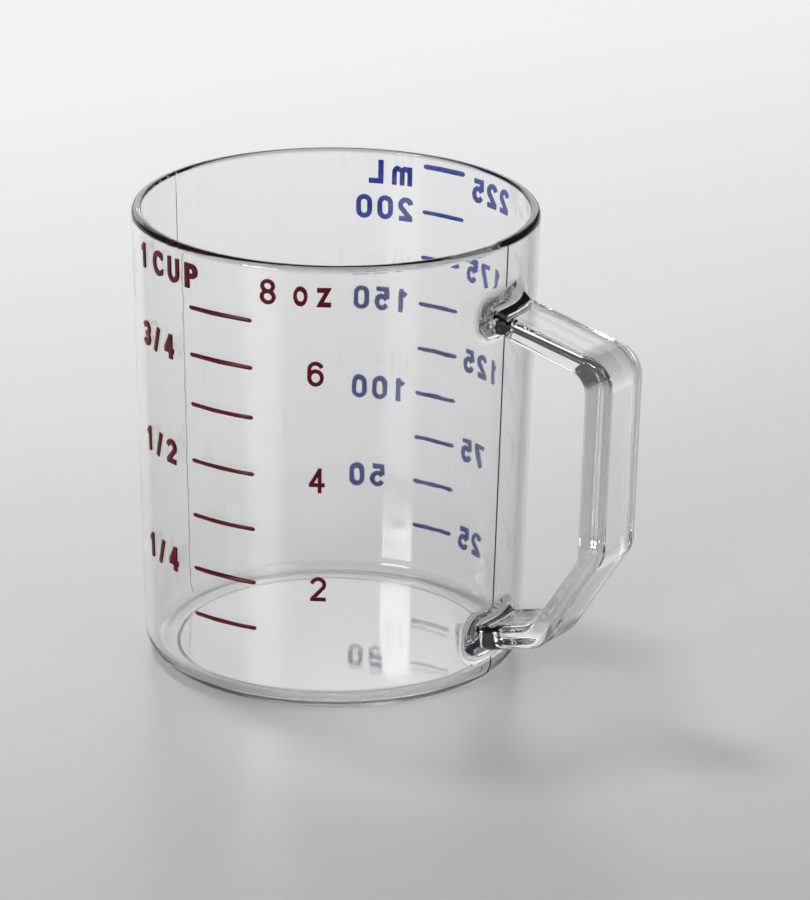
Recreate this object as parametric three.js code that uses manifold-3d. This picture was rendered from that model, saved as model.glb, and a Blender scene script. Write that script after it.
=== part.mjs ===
// A clear one-cup measuring cup with a moulded handle and raised, inked graduations.
// Millimetres, +Z up. The origin is on the cup's axis at the table, and the handle points along +X.

import * as THREE from 'three';
import { mergeVertices } from 'three/addons/utils/BufferGeometryUtils.js';
import Module from 'manifold-3d';

const wasm = await Module();
wasm.setup();

// Cup body
const cupHeight = 78.7;
const rimDiameter = 68.6;
const baseDiameter = 64.4; // the outer wall carried straight down to the table
const wallThickness = 1.7;
const floorThickness = 1.8;
const footRadius = 4; // outside, from the wall into the underside
const floorRadius = 2.3; // inside, from the wall into the floor
const rimOuterRounding = 1.1;
const rimInnerRounding = 0.4;
const ringDiameter = 53.2; // groove left by the mould insert, on the underside
const ringWidth = 0.6;
const ringDepth = 0.2;
const roundSides = 80;

// Handle, measured on the middle line of its bar
const upperRootDrop = 12.1; // below the rim, where the bar leaves the wall
const gripTopDrop = 17.2; // below the rim
const fingerGap = 18.4; // from the rim's outside to the top of the grip
const gripLean = 0.75; // how far the grip's top stands out beyond its foot
const gripFootHeight = 28.9;
const heelReach = 12; // outward from the base's outside
const heelHeight = 12.9;
const lowerRootHeight = 9.6;
const handleWidth = 11.2;
const upperArmThickness = 3.8;
const gripDepth = 5.1;
const strutThickness = 3.9;
const lowerArmThickness = 4.3;
const outerBendRadius = 5;
const innerBendRadius = 4; // on the finger side
const edgeRadius = 1.4;
const rootFlare = 2.8; // fillet where the bar spreads on to the wall
const rootClearance = 0.3;

// Raised marks, laid on the outside of the wall
const markRaise = 0.3;
const markClearance = 0.06;
const barThickness = 0.72;
const figureHeight = 4.3;
const figureWidth = 2.85;
const figureGap = 0.95; // between neighbouring figures
const strokeWidth = 0.88;
const topRowDrop = 4.6; // middle of the highest figures, below the rim

// Red scale: eighths of a cup, with ounces beside it
const cupAzimuth = -89.1;
const cupBarLength = 12.4;
const cupLowestBar = 14.5;
const cupHighestDrop = 10; // below the rim
const cupBarShares = [0, 0.151, 0.327, 0.506, 0.689, 0.849, 1]; // of the way up, one eighth first
const cupLabelGap = 3.9; // from the bars to the fractions on their left
const ounceLabelGap = 9.2; // from the bars to the ounces on their right
const cupTitleOffset = -19.6; // along the wall from the middle of the bars
const ounceTitleOffset = 9.1;
const ounceFigureWidth = 2.7; // lighter figures than the rest
const ounceStrokeWidth = 0.64;

// Blue scale: millilitres
const mlAzimuth = 90.7;
const mlBarLength = 8.7;
const mlStep = 25;
const mlBarCount = 9;
const mlLowestBar = 10.9;
const mlHighestDrop = 2.4; // below the rim
const mlTopBarThickness = 0.9;
const mlLabelGap = 1.85; // from the bars to the figures on either side
const mlLabelSlots = 3;

// Facets
const arcSteps = 4;
const bendSteps = 6;
const edgeSteps = 2;
const flareSteps = 3;
const barSteps = 8;

const rimRadius = rimDiameter / 2;
const baseRadius = baseDiameter / 2;
const taper = (rimRadius - baseRadius) / cupHeight;
const draft = Math.atan(taper);
const figurePitch = figureWidth + figureGap;

function outerRadiusAt(height) {
  return baseRadius + taper * height;
}

const clearPlastic = { color: 0xe8edef, roughness: 0.08, metalness: 0, transparent: true, opacity: 0.35 };
const redInk = { color: 0x6b2025, roughness: 0.35, metalness: 0 };
const blueInk = { color: 0x2f3f87, roughness: 0.35, metalness: 0 };

const measuringCup = new THREE.Group();
measuringCup.name = 'measuring_cup';

function addPiece(name, geometry, finish) {
  const piece = new THREE.Mesh(geometry, new THREE.MeshStandardMaterial(finish));
  piece.name = name;
  measuringCup.add(piece);
}

// Solids that are joined or cut
function toSolid(geometry) {
  const bare = geometry.clone();
  bare.deleteAttribute('normal');
  bare.deleteAttribute('uv');
  const merged = mergeVertices(bare);
  return new wasm.Manifold(new wasm.Mesh({
    numProp: 3,
    vertProperties: new Float32Array(merged.attributes.position.array),
    triVerts: new Uint32Array(merged.index.array),
  }));
}

function buildGeometry(positions, triangles) {
  const geometry = new THREE.BufferGeometry();
  geometry.setAttribute('position', new THREE.BufferAttribute(new Float32Array(positions), 3));
  geometry.setIndex(new THREE.BufferAttribute(new Uint32Array(triangles), 1));
  geometry.computeVertexNormals();
  return geometry;
}

function toGeometry(solid) {
  const mesh = solid.getMesh();
  return buildGeometry(mesh.vertProperties, mesh.triVerts);
}

// Joins closed sections of equally many points into one solid with flat ends
function loft(sections) {
  const count = sections[0].length;
  const positions = sections.flat().flatMap((point) => point.toArray());
  const triangles = [];
  for (let s = 0; s + 1 < sections.length; s += 1) {
    for (let i = 0; i < count; i += 1) {
      const here = s * count + i;
      const beside = s * count + ((i + 1) % count);
      triangles.push(here, beside, beside + count, here, beside + count, here + count);
    }
  }
  const last = (sections.length - 1) * count;
  for (let i = 1; i + 1 < count; i += 1) {
    triangles.push(0, i + 1, i, last, last + i, last + i + 1);
  }
  return buildGeometry(positions, triangles);
}

// Cup body: one profile turned about the axis
function cupBody() {
  const reach = Math.hypot(1, taper); // how far a round sits from a leaning wall, per unit radius
  const footMiddle = outerRadiusAt(footRadius) - footRadius * reach;
  const floorMiddleHeight = floorThickness + floorRadius;
  const floorMiddle = outerRadiusAt(floorMiddleHeight) - wallThickness - floorRadius * reach;
  const rimShare = Math.min(1, wallThickness / (rimOuterRounding + rimInnerRounding));
  const [rimOuter, rimInner] = [rimOuterRounding * rimShare, rimInnerRounding * rimShare];
  const rimOutside = outerRadiusAt(cupHeight - rimOuter) - rimOuter;
  const rimInside = outerRadiusAt(cupHeight - rimInner) - wallThickness + rimInner;
  const ringRadius = ringDiameter / 2;

  const profile = new THREE.Path();
  profile.moveTo(0, 0);
  profile.lineTo(ringRadius - ringWidth / 2, 0);
  profile.lineTo(ringRadius, ringDepth);
  profile.lineTo(ringRadius + ringWidth / 2, 0);
  profile.absarc(footMiddle, footRadius, footRadius, -Math.PI / 2, -draft, false);
  profile.absarc(rimOutside, cupHeight - rimOuter, rimOuter, -draft, Math.PI / 2, false);
  profile.absarc(rimInside, cupHeight - rimInner, rimInner, Math.PI / 2, Math.PI - draft, false);
  profile.absarc(floorMiddle, floorMiddleHeight, floorRadius, -draft, -Math.PI / 2, true);
  profile.lineTo(0, floorThickness);

  const body = new THREE.LatheGeometry(profile.getPoints(arcSteps / 2), roundSides);
  return body.rotateX(Math.PI / 2);
}

// The space that the cup fills, grown by a clearance, which the handle's ends are cut to
function cupSpace(clearance) {
  const low = -footRadius;
  const high = cupHeight + footRadius;
  const space = new THREE.CylinderGeometry(
    outerRadiusAt(high) + clearance,
    outerRadiusAt(low) + clearance,
    high - low,
    roundSides,
  );
  space.translate(0, (low + high) / 2, 0);
  return space.rotateX(Math.PI / 2);
}

// Handle: a bar with rounded edges carried along a bent line from wall to wall
function handleStations() {
  const upperRoot = cupHeight - upperRootDrop;
  const gripLine = rimRadius + fingerGap + gripDepth / 2;
  const corners = [
    new THREE.Vector2(outerRadiusAt(upperRoot), upperRoot),
    new THREE.Vector2(gripLine, cupHeight - gripTopDrop),
    new THREE.Vector2(gripLine - gripLean, gripFootHeight),
    new THREE.Vector2(baseRadius + heelReach, heelHeight),
    new THREE.Vector2(outerRadiusAt(lowerRootHeight), lowerRootHeight),
  ];
  const thicknesses = [upperArmThickness, gripDepth, strutThickness, lowerArmThickness];
  const headings = thicknesses.map((_, i) => corners[i + 1].clone().sub(corners[i]).angle());
  const along = (from, heading, distance) =>
    new THREE.Vector2(Math.cos(heading), Math.sin(heading)).multiplyScalar(distance).add(from);

  // A root spreads as a quarter round over the wall, and runs on into the wall before it is cut
  const rootStations = (place, heading, thickness) => {
    const stations = [{ place, heading, thickness, flare: rootFlare, fromWall: -wallThickness }];
    for (let i = 0; i <= flareSteps; i += 1) {
      const turn = (Math.PI / 2) * (i / flareSteps);
      const fromWall = rootFlare * (1 - Math.cos(turn));
      stations.push({ place, heading, thickness, flare: rootFlare * (1 - Math.sin(turn)), fromWall });
    }
    return stations;
  };

  // A bend is rounded off on its outside and on its finger side, each with its own radius
  const bendStations = (i) => {
    const [before, after] = [headings[i - 1], headings[i]];
    const turn = Math.atan2(Math.sin(after - before), Math.cos(after - before));
    const inward = (Math.sign(turn) * Math.PI) / 2;
    const edge = (side, radius) => {
      const [near, far] = [thicknesses[i - 1], thicknesses[i]].map((thickness) => (side * thickness) / 2);
      const run = (near * Math.cos(turn) - far) / Math.sin(Math.abs(turn));
      const meeting = along(along(corners[i], before + inward, near), before, run);
      const start = along(meeting, before, -radius * Math.tan(Math.abs(turn) / 2));
      const middle = along(start, before + inward, radius);
      return (share) => along(middle, before + turn * share + inward, -radius);
    };
    const outside = edge(-1, outerBendRadius);
    const inside = edge(1, innerBendRadius);
    return Array.from({ length: bendSteps + 1 }, (_, step) => {
      const [out, within] = [outside(step / bendSteps), inside(step / bendSteps)];
      const place = out.clone().add(within).divideScalar(2);
      return { place, heading: within.clone().sub(out).angle() - inward, thickness: out.distanceTo(within), flare: 0 };
    });
  };

  return [
    ...rootStations(corners[0], headings[0], thicknesses[0]),
    ...bendStations(1),
    ...bendStations(2),
    ...bendStations(3),
    ...rootStations(corners[4], headings[3], thicknesses[3]).reverse(),
  ];
}

function barSection({ place, heading, thickness, flare, fromWall }) {
  const radius = edgeRadius + flare;
  const thick = thickness / 2 + flare - radius;
  const wide = handleWidth / 2 + flare - radius;
  const outline = [[thick, wide], [-thick, wide], [-thick, -wide], [thick, -wide]].flatMap(([across, aside], quarter) => (
    Array.from({ length: edgeSteps + 1 }, (_, i) => {
      const turn = (Math.PI / 2) * (quarter + i / edgeSteps);
      return [across + radius * Math.cos(turn), aside + radius * Math.sin(turn)];
    })
  ));
  return outline.map(([across, aside]) => {
    const point = new THREE.Vector3(place.x + across * Math.sin(heading), aside, place.y - across * Math.cos(heading));
    if (fromWall !== undefined) {
      const wallX = Math.sqrt(outerRadiusAt(point.z) ** 2 - aside ** 2);
      point.z += (wallX + fromWall - point.x) * Math.tan(heading);
      point.x = wallX + fromWall;
    }
    return point;
  });
}

function handle() {
  const bar = toSolid(loft(handleStations().map(barSection)));
  return toGeometry(bar.subtract(toSolid(cupSpace(rootClearance))));
}

// Lays a flat mark on the leaning wall: x runs along the wall, y up it and z out of it
function layOnWall(geometry, azimuth, offset, height) {
  const spots = geometry.attributes.position;
  for (let i = 0; i < spots.count; i += 1) {
    const up = height + spots.getY(i) * Math.cos(draft);
    const radius = outerRadiusAt(up) + markClearance + spots.getZ(i);
    const turn = THREE.MathUtils.degToRad(azimuth) + (offset + spots.getX(i)) / outerRadiusAt(height);
    spots.setXYZ(i, radius * Math.cos(turn), radius * Math.sin(turn), up);
  }
  geometry.computeVertexNormals();
  return geometry;
}

// A bar: a low ridge with a rounded back and tapered ends
function flatBar(length, thickness) {
  const ridge = (x, share) => {
    const half = (thickness / 2) * share;
    const crown = markRaise * share;
    return [
      new THREE.Vector3(x, -half, 0),
      new THREE.Vector3(x, half, 0),
      new THREE.Vector3(x, half, crown / 2),
      new THREE.Vector3(x, 0, crown),
      new THREE.Vector3(x, -half, crown / 2),
    ];
  };
  const shoulder = length / 2 - thickness / 2;
  const sections = [ridge(-length / 2, 0.5)];
  for (let i = 0; i <= barSteps; i += 1) {
    sections.push(ridge(THREE.MathUtils.lerp(-shoulder, shoulder, i / barSteps), 1));
  }
  sections.push(ridge(length / 2, 0.5));
  return loft(sections);
}

const line = (...points) => new THREE.Path(points.map(([x, y]) => new THREE.Vector2(x, y)));
const arc = (y, wide, tall, from, to, clockwise) =>
  new THREE.Path().absellipse(0, y, wide, tall, from * Math.PI, to * Math.PI, clockwise);
const loop = (y, wide, tall) => arc(y, wide, tall, 0, 1, false).absellipse(0, y, wide, tall, Math.PI, 2 * Math.PI);

// Figures are drawn with strokes of one width. Here w and h are half the size of the middle line's box,
// and end is half the height of the whole figure, for strokes that are cut off square.
function figureStrokes(width, stroke) {
  const w = (width - stroke) / 2;
  const h = (figureHeight - stroke) / 2;
  const end = figureHeight / 2;
  return {
    0: [arc(h - w, w, w, 0, 1, false).absarc(0, w - h, w, Math.PI, 2 * Math.PI).lineTo(w, h - w)],
    1: [line([w * 0.2, -end], [w * 0.2, end]), line([-w * 0.8, h * 0.52], [w * 0.2, h * 0.9])],
    2: [arc(h - w, w, w, 0.95, -0.15, true).lineTo(-w, -h), line([-w * 1.25, -h], [w * 1.25, -h])],
    3: [arc(h / 2, w, h / 2, 0.9, -0.5, true).lineTo(-w * 0.3, 0), arc(-h / 2, w, h / 2, 0.5, -0.9, true)],
    4: [
      line([w * 0.45, h], [-w, -h * 0.42]),
      line([-w * 1.25, -h * 0.42], [w * 1.25, -h * 0.42]),
      line([w * 0.45, -end], [w * 0.45, end]),
    ],
    5: [
      line([-w * 1.15, h], [w, h]),
      line([-w * 0.85, end], [-w * 0.92, h * 0.02]),
      arc(-h * 0.36, w, h * 0.64, 0.84, -0.86, true),
    ],
    6: [loop(-h * 0.36, w, h * 0.64), line([-w, -h * 0.36], [-w, h - w]).absarc(0, h - w, w, Math.PI, 0.3, true)],
    7: [line([-w * 1.25, h], [w * 1.25, h]), line([w, h], [-w * 0.35, -end])],
    8: [loop(h * 0.52, w * 0.9, h * 0.48), loop(-h * 0.48, w, h * 0.52)],
    '/': [line([-w * 0.7, -end], [w * 0.7, end])],
  };
}

// Turns a stroke's middle line into an outline of even width
function strokeShape(path, stroke) {
  const near = stroke / 1000;
  const points = path.getPoints(arcSteps).filter((point, i, all) => i === 0 || point.distanceTo(all[i - 1]) > near);
  const closed = points[0].distanceTo(points[points.length - 1]) < near;
  if (closed) {
    points.pop();
  }
  const count = points.length;
  const step = (i) => {
    const from = closed ? (i + count) % count : THREE.MathUtils.clamp(i, 0, count - 2);
    return points[(from + 1) % count].clone().sub(points[from]).normalize();
  };
  const side = (sign) => points.map((point, i) => {
    const before = step(i - 1);
    const heading = before.clone().add(step(i)).normalize();
    const widen = (sign * stroke) / 2 / heading.dot(before);
    return new THREE.Vector2(point.x - heading.y * widen, point.y + heading.x * widen);
  });
  if (closed) {
    const ring = new THREE.Shape(side(-1));
    ring.holes.push(new THREE.Path(side(1)));
    return ring;
  }
  return new THREE.Shape([...side(-1), ...side(1).reverse()]);
}

function flatFigure(character, width, stroke) {
  const solids = figureStrokes(width, stroke)[character].map((path) => toSolid(
    new THREE.ExtrudeGeometry(strokeShape(path, stroke), { depth: markRaise, bevelEnabled: false }),
  ));
  return toGeometry(solids.reduce((whole, solid) => whole.add(solid)));
}

// Figures in a row, placed by the middle of the first one
function addFigures(name, text, azimuth, offset, height, ink, width = figureWidth, stroke = strokeWidth) {
  [...text].forEach((character, i) => {
    const figure = layOnWall(flatFigure(character, width, stroke), azimuth, offset + i * figurePitch, height);
    addPiece(text.length > 1 ? `${name}_${i + 1}` : name, figure, ink);
  });
}

function addOunces(amount, offset, height) {
  const name = `ounce_figure_${amount}`;
  addFigures(name, `${amount}`, cupAzimuth, offset, height, redInk, ounceFigureWidth, ounceStrokeWidth);
}

function addCupScale() {
  const topRow = cupHeight - topRowDrop;
  const highest = cupHeight - cupHighestDrop;
  const heightOf = (eighths) => THREE.MathUtils.lerp(cupLowestBar, highest, cupBarShares[eighths - 1]);
  cupBarShares.forEach((_, i) => {
    const bar = flatBar(cupBarLength, barThickness);
    addPiece(`cup_bar_${i + 1}_8`, layOnWall(bar, cupAzimuth, 0, heightOf(i + 1)), redInk);
  });

  const barEnd = cupBarLength / 2;
  [[2, '1/4'], [4, '1/2'], [6, '3/4']].forEach(([eighths, text]) => {
    const first = -barEnd - cupLabelGap - figureWidth / 2 - (text.length - 1) * figurePitch;
    addFigures(`cup_figure_${text.replace('/', '_')}`, text, cupAzimuth, first, heightOf(eighths), redInk);
    const ounces = barEnd + ounceLabelGap + figureWidth / 2;
    addOunces(eighths, ounces, heightOf(eighths));
  });
  addFigures('cup_figure_1', '1', cupAzimuth, cupTitleOffset, topRow, redInk);
  addOunces(8, ounceTitleOffset, topRow);
}

function addMillilitreScale() {
  const highest = cupHeight - mlHighestDrop;
  const barEnd = mlBarLength / 2;
  const column = (mlLabelSlots - 1) * figurePitch;
  for (let i = 1; i <= mlBarCount; i += 1) {
    const amount = `${i * mlStep}`;
    const top = i === mlBarCount;
    const height = THREE.MathUtils.lerp(mlLowestBar, highest, (i - 1) / (mlBarCount - 1));
    const bar = flatBar(mlBarLength, top ? mlTopBarThickness : barThickness);
    addPiece(`ml_bar_${amount}`, layOnWall(bar, mlAzimuth, 0, height), blueInk);

    // Odd steps are labelled on the left of the bars and even ones on the right, each column flush right
    const nearest = barEnd + mlLabelGap + figureWidth / 2;
    const last = i % 2 ? -nearest : nearest + column;
    const first = last - (amount.length - 1) * figurePitch;
    addFigures(`ml_figure_${amount}`, amount, mlAzimuth, first, top ? cupHeight - topRowDrop : height, blueInk);
  }
}

addPiece('cup_body', cupBody(), clearPlastic);
addPiece('handle', handle(), clearPlastic);
addCupScale();
addMillilitreScale();

export default measuringCup;
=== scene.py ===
import math

import bmesh
import bpy
from mathutils import Matrix, Vector


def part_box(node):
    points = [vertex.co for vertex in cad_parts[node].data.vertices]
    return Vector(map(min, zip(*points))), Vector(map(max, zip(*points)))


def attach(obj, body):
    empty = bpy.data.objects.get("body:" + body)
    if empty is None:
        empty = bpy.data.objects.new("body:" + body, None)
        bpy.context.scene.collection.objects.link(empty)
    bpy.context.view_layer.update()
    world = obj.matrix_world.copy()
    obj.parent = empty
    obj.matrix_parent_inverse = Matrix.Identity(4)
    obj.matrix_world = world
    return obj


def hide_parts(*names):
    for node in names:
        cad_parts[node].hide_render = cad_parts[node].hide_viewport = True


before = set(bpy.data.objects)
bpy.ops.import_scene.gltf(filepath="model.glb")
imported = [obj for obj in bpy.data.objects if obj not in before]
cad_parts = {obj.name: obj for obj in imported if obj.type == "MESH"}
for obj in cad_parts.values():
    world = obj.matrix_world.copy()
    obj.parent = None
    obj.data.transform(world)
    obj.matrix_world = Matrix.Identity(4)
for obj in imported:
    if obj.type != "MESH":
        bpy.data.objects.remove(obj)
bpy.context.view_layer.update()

mm = 0.001
mergeDistance = 0.002 * mm
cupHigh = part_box("cup_body")[1]
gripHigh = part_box("handle")[1]
print("frame loaded:", len(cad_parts), "nodes")


# small helpers

def deselectAll():
    if bpy.context.object and bpy.context.object.mode != "OBJECT":
        bpy.ops.object.mode_set(mode="OBJECT")
    bpy.ops.object.select_all(action="DESELECT")


def makeActive(piece):
    deselectAll()
    piece.select_set(True)
    bpy.context.view_layer.objects.active = piece


def applyModifier(piece, kind, **settings):
    makeActive(piece)
    modifier = piece.modifiers.new(kind, kind)
    for key, value in settings.items():
        setattr(modifier, key, value)
    bpy.ops.object.modifier_apply(modifier=modifier.name)


def finishPiece(piece, name, slot, replaced=()):
    piece.name = name
    piece.data.name = name
    piece.data.materials.clear()
    piece.data.materials.append(materials[slot])
    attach(piece, "root")
    if replaced:
        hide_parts(*replaced)


# camera, placed where the photograph was taken from

cameraSettings = {
    "place": (0.4491, -0.6486, 0.3249),
    "aim": (-0.0003, 0.0220, 0.0284),
    "roll": 0.7,            # degrees
    "lens": 197.7,          # mm, as is the sensor
    "sensorHeight": 36,
    "nearClip": 0.01,
}


def addCamera():
    s = cameraSettings
    data = bpy.data.cameras.new("camera")
    data.sensor_fit = "VERTICAL"
    data.sensor_height = s["sensorHeight"]
    data.lens = s["lens"]
    data.clip_start = s["nearClip"]
    camera = bpy.data.objects.new("camera", data)
    bpy.context.scene.collection.objects.link(camera)
    place = Vector(s["place"])
    look = (Vector(s["aim"]) - place).to_track_quat("-Z", "Y").to_matrix()
    turn = look @ Matrix.Rotation(math.radians(s["roll"]), 3, "Z")
    camera.matrix_world = Matrix.Translation(place) @ turn.to_4x4()
    bpy.context.scene.camera = camera


addCamera()
print("camera set")


# node materials

def newMaterial(name):
    material = bpy.data.materials.new(name)
    material.use_nodes = True
    tree = material.node_tree
    return material, tree, tree.nodes["Principled BSDF"]


def addNode(tree, kind, **settings):
    node = tree.nodes.new(kind)
    for key, value in settings.items():
        if key in node.inputs:
            node.inputs[key].default_value = value
        else:
            setattr(node, key, value)
    return node


def addNoise(tree, scale, detail):
    place = addNode(tree, "ShaderNodeTexCoord")
    noise = addNode(tree, "ShaderNodeTexNoise", Scale=scale, Detail=detail)
    tree.links.new(place.outputs["Object"], noise.inputs["Vector"])
    return noise.outputs["Fac"]


def addRange(tree, value, span, result, kind="LINEAR"):
    node = addNode(tree, "ShaderNodeMapRange", interpolation_type=kind)
    node.inputs["From Min"].default_value, node.inputs["From Max"].default_value = span
    node.inputs["To Min"].default_value, node.inputs["To Max"].default_value = result
    tree.links.new(value, node.inputs["Value"])
    return node.outputs["Result"]


def addBump(tree, shader, height, strength, depth):
    bump = addNode(tree, "ShaderNodeBump", Strength=strength, Distance=depth)
    tree.links.new(height, bump.inputs["Height"])
    tree.links.new(bump.outputs["Normal"], shader.inputs["Normal"])


clearPlasticSettings = {
    "tint": (0.984, 0.985, 0.987, 1),
    "ior": 1.585,
    "roughness": (0.012, 0.035),
    "flowScale": 140,       # soft waves left by the melt, per metre
    "flowDetail": 2,
    "flowStrength": 1,
    "flowDepth": 0.02 * mm,
}


def makeClearPlastic():
    s = clearPlasticSettings
    material, tree, shader = newMaterial("clear_plastic")
    shader.inputs["Base Color"].default_value = s["tint"]
    shader.inputs["Transmission Weight"].default_value = 1
    shader.inputs["IOR"].default_value = s["ior"]
    flow = addNoise(tree, s["flowScale"], s["flowDetail"])
    tree.links.new(addRange(tree, flow, (0, 1), s["roughness"]), shader.inputs["Roughness"])
    addBump(tree, shader, flow, s["flowStrength"], s["flowDepth"])
    return material


inkSettings = {
    "red": ((0.105, 0.005, 0.01, 1), (0.175, 0.011, 0.017, 1)),     # thick and thin patches
    "blue": ((0.014, 0.064, 0.58, 1), (0.03, 0.106, 0.78, 1)),
    "patchScale": 900,
    "patchDetail": 3,
    "patchEdges": (0.35, 0.65),
    "gloss": 0.2,
    "roughness": (0.22, 0.38),
    "grainStrength": 0.6,
    "grainDepth": 0.01 * mm,
}


def makeInk(colour):
    s = inkSettings
    material, tree, shader = newMaterial(colour + "_ink")
    shader.inputs["Specular IOR Level"].default_value = s["gloss"]
    patch = addNoise(tree, s["patchScale"], s["patchDetail"])
    ramp = addNode(tree, "ShaderNodeValToRGB")
    for stop, edge, shade in zip(ramp.color_ramp.elements, s["patchEdges"], s[colour]):
        stop.position = edge
        stop.color = shade
    tree.links.new(patch, ramp.inputs["Fac"])
    tree.links.new(ramp.outputs["Color"], shader.inputs["Base Color"])
    tree.links.new(addRange(tree, patch, (0, 1), s["roughness"]), shader.inputs["Roughness"])
    addBump(tree, shader, patch, s["grainStrength"], s["grainDepth"])
    return material


materials = {
    "clear_plastic": makeClearPlastic(),
    "red_ink": makeInk("red"),
    "blue_ink": makeInk("blue"),
}
print("materials made:", len(materials))


# cup: one vertex pulled along the section, then spun about the axis

cupSettings = {
    "baseRadius": 32.2 * mm,    # the outer wall carried down to the table
    "wall": 1.7 * mm,
    "wallRows": 14,
    "floor": 1.8 * mm,
    "footRound": 4 * mm,
    "footSteps": 14,
    "floorRound": 2.3 * mm,     # corner between wall and floor, inside
    "floorSteps": 10,
    "rimOuterRound": 1.1 * mm,
    "rimOuterSteps": 10,
    "rimInnerRound": 0.4 * mm,
    "rimInnerSteps": 8,
    "ringRadius": 26.6 * mm,    # groove of the mould insert, underneath
    "ringWidth": 0.6 * mm,
    "ringDepth": 0.2 * mm,
    "sides": 180,
    "edgeHold": 0.35 * mm,      # rows beside each round that keep the flats flat
    "seamWidth": 0.34 * mm,     # line where the two halves of the mould meet
    "seamSegments": 4,
    "seamStart": 27.6 * mm,     # from the axis, underneath
    "seamReach": 0.68 * mm,     # inwards over the rim
    "seamHeight": {"left": 0.09 * mm, "right": 0.15 * mm},  # the handle is on the right
    "sharpAngle": math.radians(32),
}
cupHeight = cupHigh.z
rimRadius = cupHigh.x
taper = (rimRadius - cupSettings["baseRadius"]) / cupHeight
draft = math.atan(taper)


def wallRadius(z):
    return cupSettings["baseRadius"] + taper * z


def arc(middle, radius, start, end, steps):
    angles = [start + (end - start) * i / steps for i in range(steps + 1)]
    return [(middle[0] + radius * math.cos(a), middle[1] + radius * math.sin(a)) for a in angles]


def straight(start, end, rows):
    return [(start[0] + (end[0] - start[0]) * i / rows, start[1] + (end[1] - start[1]) * i / rows)
            for i in range(rows + 1)]


def cupSection():
    s = cupSettings
    lean = math.hypot(1, taper)
    foot, floorRound, hold = s["footRound"], s["floorRound"], s["edgeHold"]
    rimOut, rimIn = s["rimOuterRound"], s["rimInnerRound"]
    ring, half = s["ringRadius"], s["ringWidth"] / 2
    floorZ = s["floor"] + floorRound
    rimOutZ = cupHeight - rimOut
    rimInZ = cupHeight - rimIn
    footMiddle = (wallRadius(foot) - foot * lean, foot)
    floorMiddle = (wallRadius(floorZ) - s["wall"] - floorRound * lean, floorZ)
    rimOutMiddle = (wallRadius(rimOutZ) - rimOut, rimOutZ)
    rimInMiddle = (wallRadius(rimInZ) - s["wall"] + rimIn, rimInZ)

    def outer(z):
        return wallRadius(z), z

    def inner(z):
        return wallRadius(z) - s["wall"], z

    # from the middle of the underside, up the outside, over the rim and down to the middle of the floor
    points = [(0, 0), (ring / 2, 0), (ring - half - hold, 0), (ring - half, 0), (ring, s["ringDepth"])]
    points += [(ring + half, 0), (footMiddle[0] - hold, 0)]
    points += arc(footMiddle, foot, -math.pi / 2, -draft, s["footSteps"])
    points += straight(outer(foot + hold), outer(rimOutZ - hold), s["wallRows"])
    points += arc(rimOutMiddle, rimOut, -draft, math.pi / 2, s["rimOuterSteps"])
    points += arc(rimInMiddle, rimIn, math.pi / 2, math.pi - draft, s["rimInnerSteps"])
    points += straight(inner(rimInZ - hold), inner(floorZ + hold), s["wallRows"])
    points += arc(floorMiddle, floorRound, -draft, -math.pi / 2, s["floorSteps"])
    points += [(floorMiddle[0] - hold, s["floor"]), (floorMiddle[0] / 2, s["floor"]), (0, s["floor"])]
    return points


def addCup():
    deselectAll()
    points = cupSection()
    bpy.ops.mesh.primitive_plane_add(size=mm, location=(0, 0, 0))
    cup = bpy.context.object
    bpy.ops.object.mode_set(mode="EDIT")
    bpy.ops.mesh.merge(type="CENTER")
    for before, after in zip(points, points[1:]):
        step = (after[0] - before[0], 0, after[1] - before[1])
        bpy.ops.mesh.extrude_region_move(TRANSFORM_OT_translate={"value": step})
    bpy.ops.mesh.select_all(action="SELECT")
    bpy.ops.mesh.spin(steps=cupSettings["sides"], angle=2 * math.pi, center=(0, 0, 0), axis=(0, 0, 1))
    bpy.ops.mesh.select_all(action="SELECT")
    bpy.ops.mesh.remove_doubles(threshold=mergeDistance)
    bpy.ops.mesh.normals_make_consistent(inside=False)
    addSeams(cup)
    bpy.ops.object.mode_set(mode="OBJECT")
    return cup


def onSeam(co):
    s = cupSettings
    radius = math.hypot(co.x, co.y)
    outside = co.z < s["floor"] or radius > wallRadius(co.z) - s["seamReach"]
    return abs(co.y) < mergeDistance and radius > s["seamStart"] and outside


def addSeams(cup):
    s = cupSettings
    mesh = bmesh.from_edit_mesh(cup.data)
    bpy.ops.mesh.select_all(action="DESELECT")
    bpy.ops.mesh.select_mode(type="EDGE")
    for edge in mesh.edges:
        edge.select = all(onSeam(vert.co) for vert in edge.verts)
    bmesh.update_edit_mesh(cup.data)
    bpy.ops.mesh.bevel(offset=s["seamWidth"], offset_type="OFFSET",
                       segments=s["seamSegments"], affect="EDGES")
    mesh = bmesh.from_edit_mesh(cup.data)
    mesh.normal_update()
    for vert in mesh.verts:
        if onSeam(vert.co):
            height = s["seamHeight"]["right"]
            if vert.co.x < 0:
                room = max(rimRadius + vert.co.x, 0)    # the seam stands out no further than the rim
                height = min(s["seamHeight"]["left"], room)
            vert.co.x += vert.normal.x * height
    bmesh.update_edit_mesh(cup.data)


# handle: a rounded section pulled along the bar's middle line

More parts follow.
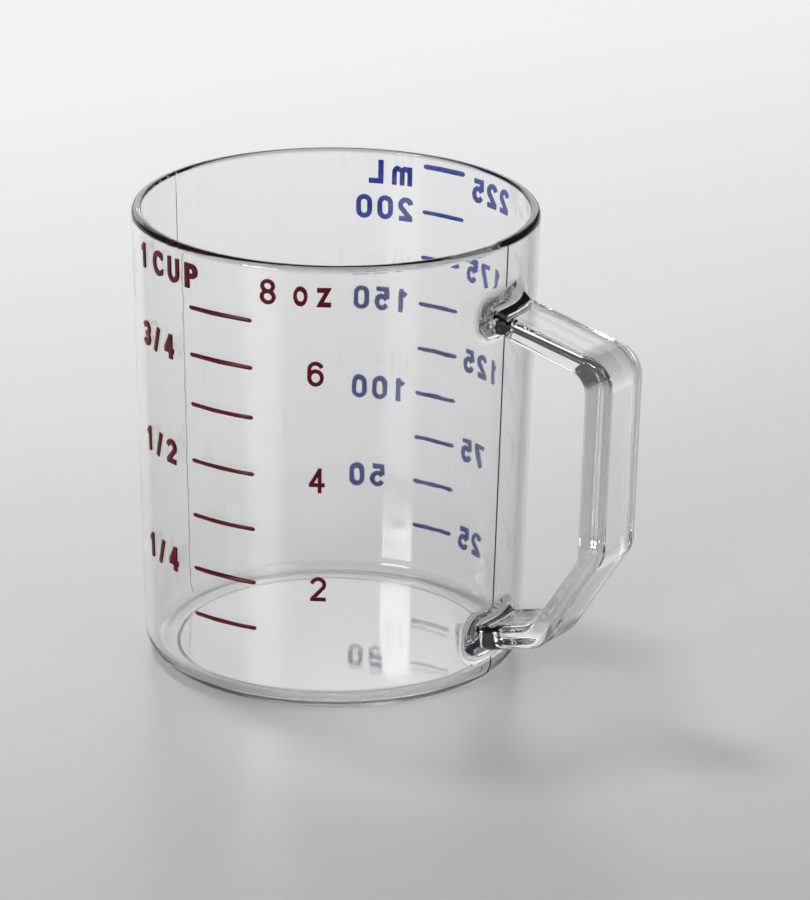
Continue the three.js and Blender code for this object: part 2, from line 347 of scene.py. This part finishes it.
handleSettings = {
    "width": 11.2 * mm,
    "upperRootDrop": 12.1 * mm,     # below the rim
    "gripTopDrop": 17.2 * mm,
    "fingerGap": 18.4 * mm,         # from the rim's outside to the top of the grip
    "gripLean": 0.75 * mm,          # how far the grip's top stands out beyond its foot
    "gripFoot": 28.9 * mm,          # above the table
    "heelReach": 12 * mm,           # outward from the base
    "heelHeight": 12.9 * mm,
    "lowerRoot": 9.6 * mm,
    "thickness": (3.8 * mm, 5.1 * mm, 3.9 * mm, 4.3 * mm),  # upper arm, grip, strut, lower arm
    "edgeRound": 1.4 * mm,
    "cornerSteps": 8,
    "shortSteps": 2,                # faces across the bar's sides
    "longSteps": 8,                 # and across its width
    "outerBend": 5 * mm,
    "innerBend": 4 * mm,            # on the finger side
    "bendSteps": 16,
    "rootFlare": 2.8 * mm,
    "flareSteps": 9,
    "drapeEnd": 2,                  # flares from the wall, where the bar no longer follows its round
    "buried": 0.8 * mm,             # how far the roots run into the wall
}


def handleCorners():
    s = handleSettings
    upper = cupHeight - s["upperRootDrop"]
    gripX = rimRadius + s["fingerGap"] + s["thickness"][1] / 2
    return [
        Vector((wallRadius(upper), 0, upper)),
        Vector((gripX, 0, cupHeight - s["gripTopDrop"])),
        Vector((gripX - s["gripLean"], 0, s["gripFoot"])),
        Vector((cupSettings["baseRadius"] + s["heelReach"], 0, s["heelHeight"])),
        Vector((wallRadius(s["lowerRoot"]), 0, s["lowerRoot"])),
    ]


def roundedOutline(halfThick, halfWide, radius):
    s = handleSettings
    quarterTurn = math.pi / 2
    points = []
    for quarter, (sideA, sideB) in enumerate(((1, 1), (-1, 1), (-1, -1), (1, -1))):
        middle = (sideA * (halfThick - radius), sideB * (halfWide - radius))
        start = quarter * quarterTurn
        corner = arc(middle, radius, start, start + quarterTurn, s["cornerSteps"])
        if points:
            steps = s["shortSteps"] if quarter % 2 else s["longSteps"]
            points += straight(points[-1], corner[0], steps)[1:-1]
        points += corner
    return points + straight(points[-1], points[0], s["longSteps"])[1:-1]


def barSection(place, across, thickness, flare=0):
    s = handleSettings
    outline = roundedOutline(thickness / 2 + flare, s["width"] / 2 + flare, s["edgeRound"] + flare)
    return [place + across * a + Vector((0, b, 0)) for a, b in outline]


def handleSections():
    s = handleSettings
    corners = handleCorners()
    headings = [(b - a).normalized() for a, b in zip(corners, corners[1:])]
    upWall = Vector((taper, 0, 1)).normalized()

    def square(heading):
        return Vector((heading.z, 0, -heading.x))

    def root(corner, heading, thickness, outward):
        across = upWall / upWall.dot(square(heading))     # the section lies flat on the leaning wall
        found = [barSection(corner - heading * outward * s["buried"], across, thickness, s["rootFlare"])]
        for i in range(s["flareSteps"] + 1):
            turn = i * math.pi / 2 / s["flareSteps"]
            place = corner + heading * outward * s["rootFlare"] * (1 - math.cos(turn))
            found.append(barSection(place, across, thickness, s["rootFlare"] * (1 - math.sin(turn))))
        return found

    def bend(i):
        before, after = headings[i - 1], headings[i]
        turn = before.angle(after)
        axis = before.cross(after).normalized()
        inward = axis.cross(before)
        edges = []      # middle of each edge's round, and the arm that turns about it
        for side, radius in ((-1, s["outerBend"]), (1, s["innerBend"])):
            near, far = (side * s["thickness"][k] / 2 for k in (i - 1, i))
            run = (near * math.cos(turn) - far) / math.sin(turn)
            start = corners[i] + inward * near + before * (run - radius * math.tan(turn / 2))
            edges.append((start + inward * radius, inward * -radius))
        found = []
        for step in range(s["bendSteps"] + 1):
            spin = Matrix.Rotation(turn * step / s["bendSteps"], 3, axis)
            out, within = [middle + spin @ arm for middle, arm in edges]
            across = within - out
            found.append(barSection((out + within) / 2, across.normalized(), across.length))
        return found

    upper = root(corners[0], headings[0], s["thickness"][0], 1)
    lower = root(corners[4], headings[3], s["thickness"][3], -1)
    return upper + bend(1) + bend(2) + bend(3) + lower[::-1]


def addHandle():
    deselectAll()
    sections = handleSections()
    count = len(sections[0])
    bpy.ops.mesh.primitive_circle_add(vertices=count, radius=mm, fill_type="NGON", location=(0, 0, 0))
    handle = bpy.context.object
    for vert, point in zip(handle.data.vertices, sections[0]):
        vert.co = point
    bpy.ops.object.mode_set(mode="EDIT")
    for before, after in zip(sections, sections[1:]):
        bpy.ops.mesh.extrude_region()
        mesh = bmesh.from_edit_mesh(handle.data)
        for vert in [v for v in mesh.verts if v.select]:
            nearest = min(range(count), key=lambda i: (before[i] - vert.co).length_squared)
            vert.co = after[nearest]
            vert.co.x = min(vert.co.x, gripHigh.x)
        bmesh.update_edit_mesh(handle.data)
    drapeRoots(handle)
    bpy.ops.mesh.select_all(action="SELECT")
    bpy.ops.mesh.normals_make_consistent(inside=False)
    bpy.ops.object.mode_set(mode="OBJECT")
    return handle


def drapeRoots(handle):
    s = handleSettings
    mesh = bmesh.from_edit_mesh(handle.data)
    for vert in mesh.verts:
        radius = wallRadius(vert.co.z)
        away = (vert.co.x - radius) / s["rootFlare"]
        ease = min(max(s["drapeEnd"] - away, 0), 1)
        sag = radius - math.sqrt(radius ** 2 - vert.co.y ** 2)
        vert.co.x -= sag * ease * ease * (3 - 2 * ease)
    bmesh.update_edit_mesh(handle.data)


cup = addCup()
handle = addHandle()
applyModifier(cup, "BOOLEAN", object=handle, operation="UNION", solver="EXACT")
bpy.data.objects.remove(handle)
makeActive(cup)
bpy.ops.object.shade_smooth_by_angle(angle=cupSettings["sharpAngle"])
applyModifier(cup, "WEIGHTED_NORMAL", keep_sharp=True)
finishPiece(cup, "moulded_cup", "clear_plastic", ("cup_body", "handle"))
print("moulding built:", len(cup.data.polygons), "faces")


# raised marks: copies of the frame's marks, rounded off and seated in the wall

markSettings = {
    "seat": 0.1 * mm,       # how far a mark runs into the wall
    "edgeRound": 0.06 * mm,
    "roundSegments": 2,
    "flatAngle": math.radians(6),
    "sharpAngle": math.radians(40),
}


def addMark(node, colour):
    s = markSettings
    mark = bpy.data.objects.new(node + "_inked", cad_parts[node].data.copy())
    bpy.context.scene.collection.objects.link(mark)
    makeActive(mark)
    bpy.ops.object.mode_set(mode="EDIT")
    bpy.ops.mesh.select_all(action="SELECT")
    bpy.ops.mesh.remove_doubles(threshold=mergeDistance)
    bpy.ops.mesh.dissolve_limited(angle_limit=s["flatAngle"])
    bpy.ops.object.mode_set(mode="OBJECT")
    applyModifier(mark, "BEVEL", width=s["edgeRound"], segments=s["roundSegments"],
                  limit_method="ANGLE", angle_limit=s["sharpAngle"])
    for vert in mark.data.vertices:
        radius = math.hypot(vert.co.x, vert.co.y)
        wall = wallRadius(vert.co.z)
        if radius - wall < s["edgeRound"]:
            shrink = (wall - s["seat"]) / radius
            vert.co.x *= shrink
            vert.co.y *= shrink
    makeActive(mark)
    bpy.ops.object.shade_smooth_by_angle(angle=s["sharpAngle"])
    finishPiece(mark, node + "_inked", colour + "_ink", (node,))


markNodes = [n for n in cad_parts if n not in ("cup_body", "handle")]
for node in markNodes:
    addMark(node, "blue" if node.startswith("ml_") else "red")
print("marks seated:", len(markNodes))


# unit words beside the top figures

wordSettings = {
    "capital": 4.3 * mm,
    "raise": 0.3 * mm,
    "seat": 0.1 * mm,
    "thickness": 0.5,       # while a letter is flat, in parts of the type size, as is the next
    "mergeDistance": 0.0005,
    # middle of the capitals below the rim in mm, boldness as a share of the type size,
    # then for each letter its azimuth in degrees and its width and height in mm
    "words": (
        ("cup_word", "red", 4.6, 0.035,
         (("C", -113.5, 2.9, 4.3), ("U", -105.9, 2.8, 4.3), ("P", -98.6, 2.8, 4.3))),
        ("ounce_word", "red", 4.5, 0.018,
         (("o", -64.8, 2.3, 3.35), ("z", -58.4, 2.5, 3.25))),
        ("ml_word", "blue", 4.15, 0.035,
         (("m", 104.8, 3.7, 3.4), ("L", 112.8, 2.6, 4.2))),
    ),
}


def addLetter(drop, boldness, text, azimuth, width, height):
    s = wordSettings
    deselectAll()
    bpy.ops.object.text_add(location=(0, 0, 0))
    letter = bpy.context.object
    letter.data.body = text
    letter.data.offset = boldness
    letter.data.extrude = s["thickness"]
    bpy.ops.object.convert(target="MESH")
    bpy.ops.object.mode_set(mode="EDIT")
    bpy.ops.mesh.select_all(action="SELECT")
    bpy.ops.mesh.remove_doubles(threshold=s["mergeDistance"])
    bpy.ops.mesh.normals_make_consistent(inside=False)
    bpy.ops.object.mode_set(mode="OBJECT")
    # wrap the flat letter round the wall
    spots = [v.co.copy() for v in letter.data.vertices]
    left, right = min(p.x for p in spots), max(p.x for p in spots)
    low, high = min(p.y for p in spots), max(p.y for p in spots)
    baseline = cupHeight - drop * mm - s["capital"] / 2
    middle = math.radians(azimuth)
    for vert, spot in zip(letter.data.vertices, spots):
        aside = ((spot.x - left) / (right - left) - 0.5) * width * mm
        z = baseline + (spot.y - low) / (high - low) * height * mm
        radius = wallRadius(z) + (s["raise"] if spot.z > 0 else -s["seat"])
        turn = middle + aside / wallRadius(z)
        vert.co = (radius * math.cos(turn), radius * math.sin(turn), z)
    return letter


def addWord(name, colour, drop, boldness, letters):
    pieces = [addLetter(drop, boldness, *letter) for letter in letters]
    deselectAll()
    for piece in pieces:
        piece.select_set(True)
    bpy.context.view_layer.objects.active = pieces[0]
    bpy.ops.object.join()
    finishPiece(bpy.context.object, name, colour + "_ink")


for word in wordSettings["words"]:
    addWord(*word)
print("unit words set:", len(wordSettings["words"]))


# studio: pale glossy floor with painted light, a bright panel behind, soft lamps and a dim room

studioSettings = {
    "floorSize": 8,
    "floorDrop": 0.02 * mm,
    "albedo": 0.38,
    "roughness": 0.33,
    "gloss": 0.5,
    "glowSpan": (-0.15, 0.38),      # metres behind the cup's axis
    "glow": (0.08, 0.38),           # painted light of the floor at the two ends of that span
    "paintedFalloffTilt": -0.5,                   # painted falloff: the floor's painted light fades towards the right side
    # painted pools of light standing in for light let through by the plastic: place to the right and
    # behind, radius in metres, glow
    "paintedLightPools": ((0.012, -0.038, 0.042, 0.13), (0.05, -0.028, 0.03, 0.06)),
    "horizonSpan": (-0.2, 0.6),     # from left to right, on a sphere of radius 1
    "horizon": (0.6, 0.12),
    "horizonFade": (0.08, 0.22),    # heights on that sphere
    "ceilingStart": (0.88, 0.96),
    "ceiling": 0.8,
    "room": 0.06,
    "bounces": {"max_bounces": 24, "transmission_bounces": 24, "glossy_bounces": 12},
}
# place to the right of the cup, behind it and above the floor, size in metres, power in watts
lampSettings = {
    "back_panel": ((-0.258, 1.816, 0.572), (2, 0.633), 6.7),
    "upper_panel": ((-0.234, 1.648, 1.016), (2, 0.317), 1.4),
    "key_lamp": ((-0.38, 0.36, 1.23), (0.22, 0.22), 7.6),
    "left_lamp": ((-0.769, -0.869, 0.487), (0.43, 0.195), 5.6),
    "right_lamp": ((0.615, -0.615, 1), (0.4, 0.4), 1.5),
}
viewBack = Vector((-0.557, 0.831, 0))       # away from the camera, along the floor
viewRight = Vector((0.831, 0.557, 0))


def addMath(tree, operation, first, second):
    node = addNode(tree, "ShaderNodeMath", operation=operation)
    tree.links.new(first, node.inputs[0])
    tree.links.new(second, node.inputs[1])
    return node.outputs["Value"]


def addAlong(tree, vector, direction):
    node = addNode(tree, "ShaderNodeVectorMath", operation="DOT_PRODUCT")
    node.inputs[1].default_value = direction
    tree.links.new(vector, node.inputs[0])
    return node.outputs["Value"]


def addDistance(tree, vector, spot):
    node = addNode(tree, "ShaderNodeVectorMath", operation="DISTANCE")
    node.inputs[1].default_value = spot
    tree.links.new(vector, node.inputs[0])
    return node.outputs["Value"]


def addFloor():
    s = studioSettings
    deselectAll()
    bpy.ops.mesh.primitive_plane_add(size=s["floorSize"], location=(0, 0, -s["floorDrop"]))
    floor = bpy.context.object
    floor.name = "studio_floor"
    bpy.ops.object.transform_apply(location=True)
    material, tree, shader = newMaterial("floor_card")
    place = addNode(tree, "ShaderNodeTexCoord").outputs["Object"]
    # painted light on the floor: brighter further back, fading towards the right
    depth = addAlong(tree, place, viewBack + viewRight * s["paintedFalloffTilt"])
    glow = addRange(tree, depth, s["glowSpan"], s["glow"])
    # painted pools of light that lighten the floor in and beside the cup's shadow
    for aside, back, radius, extra in s["paintedLightPools"]:
        distance = addDistance(tree, place, viewRight * aside + viewBack * back)
        paintedPool = addRange(tree, distance, (0, radius), (extra, 0), "SMOOTHSTEP")
        glow = addMath(tree, "ADD", glow, paintedPool)
    ray = addNode(tree, "ShaderNodeLightPath")      # the painted glow is seen, but lights nothing
    seen = addMath(tree, "MAXIMUM", ray.outputs["Is Camera Ray"], ray.outputs["Is Glossy Ray"])
    seen = addMath(tree, "MAXIMUM", seen, ray.outputs["Is Transmission Ray"])
    tree.links.new(addMath(tree, "MULTIPLY", glow, seen), shader.inputs["Emission Color"])
    shader.inputs["Emission Strength"].default_value = 1
    shader.inputs["Base Color"].default_value = (s["albedo"], s["albedo"], s["albedo"], 1)
    shader.inputs["Roughness"].default_value = s["roughness"]
    shader.inputs["Specular IOR Level"].default_value = s["gloss"]
    floor.data.materials.append(material)


def addLamp(name, spot, size, power):
    data = bpy.data.lights.new(name, "AREA")
    data.shape = "RECTANGLE"
    data.size, data.size_y = size
    data.energy = power
    lamp = bpy.data.objects.new(name, data)
    bpy.context.scene.collection.objects.link(lamp)
    place = viewRight * spot[0] + viewBack * spot[1] + Vector((0, 0, spot[2]))
    turn = (Vector((0, 0, cupHeight / 2)) - place).to_track_quat("-Z", "Y")
    lamp.matrix_world = Matrix.Translation(place) @ turn.to_matrix().to_4x4()


def addWorld():
    s = studioSettings
    world = bpy.data.worlds.new("room")
    bpy.context.scene.world = world
    world.use_nodes = True
    tree = world.node_tree
    place = addNode(tree, "ShaderNodeTexCoord").outputs["Generated"]
    aside = addAlong(tree, place, viewRight)
    height = addAlong(tree, place, (0, 0, 1))
    horizon = addRange(tree, aside, s["horizonSpan"], s["horizon"], "SMOOTHSTEP")
    low = addRange(tree, height, s["horizonFade"], (1, 0), "SMOOTHSTEP")
    high = addRange(tree, height, s["ceilingStart"], (s["room"], s["ceiling"]), "SMOOTHSTEP")
    level = addMath(tree, "MAXIMUM", addMath(tree, "MULTIPLY", horizon, low), high)
    tree.links.new(level, tree.nodes["Background"].inputs["Color"])


addFloor()
for name, (spot, size, power) in lampSettings.items():
    addLamp(name, spot, size, power)
bpy.data.objects["key_lamp"].visible_glossy = False     # its mirror image would spot the plastic
addWorld()
bpy.context.scene.view_settings.view_transform = "Standard"
for key, count in studioSettings["bounces"].items():
    setattr(bpy.context.scene.cycles, key, count)
print("studio lit:", len(lampSettings), "lamps")
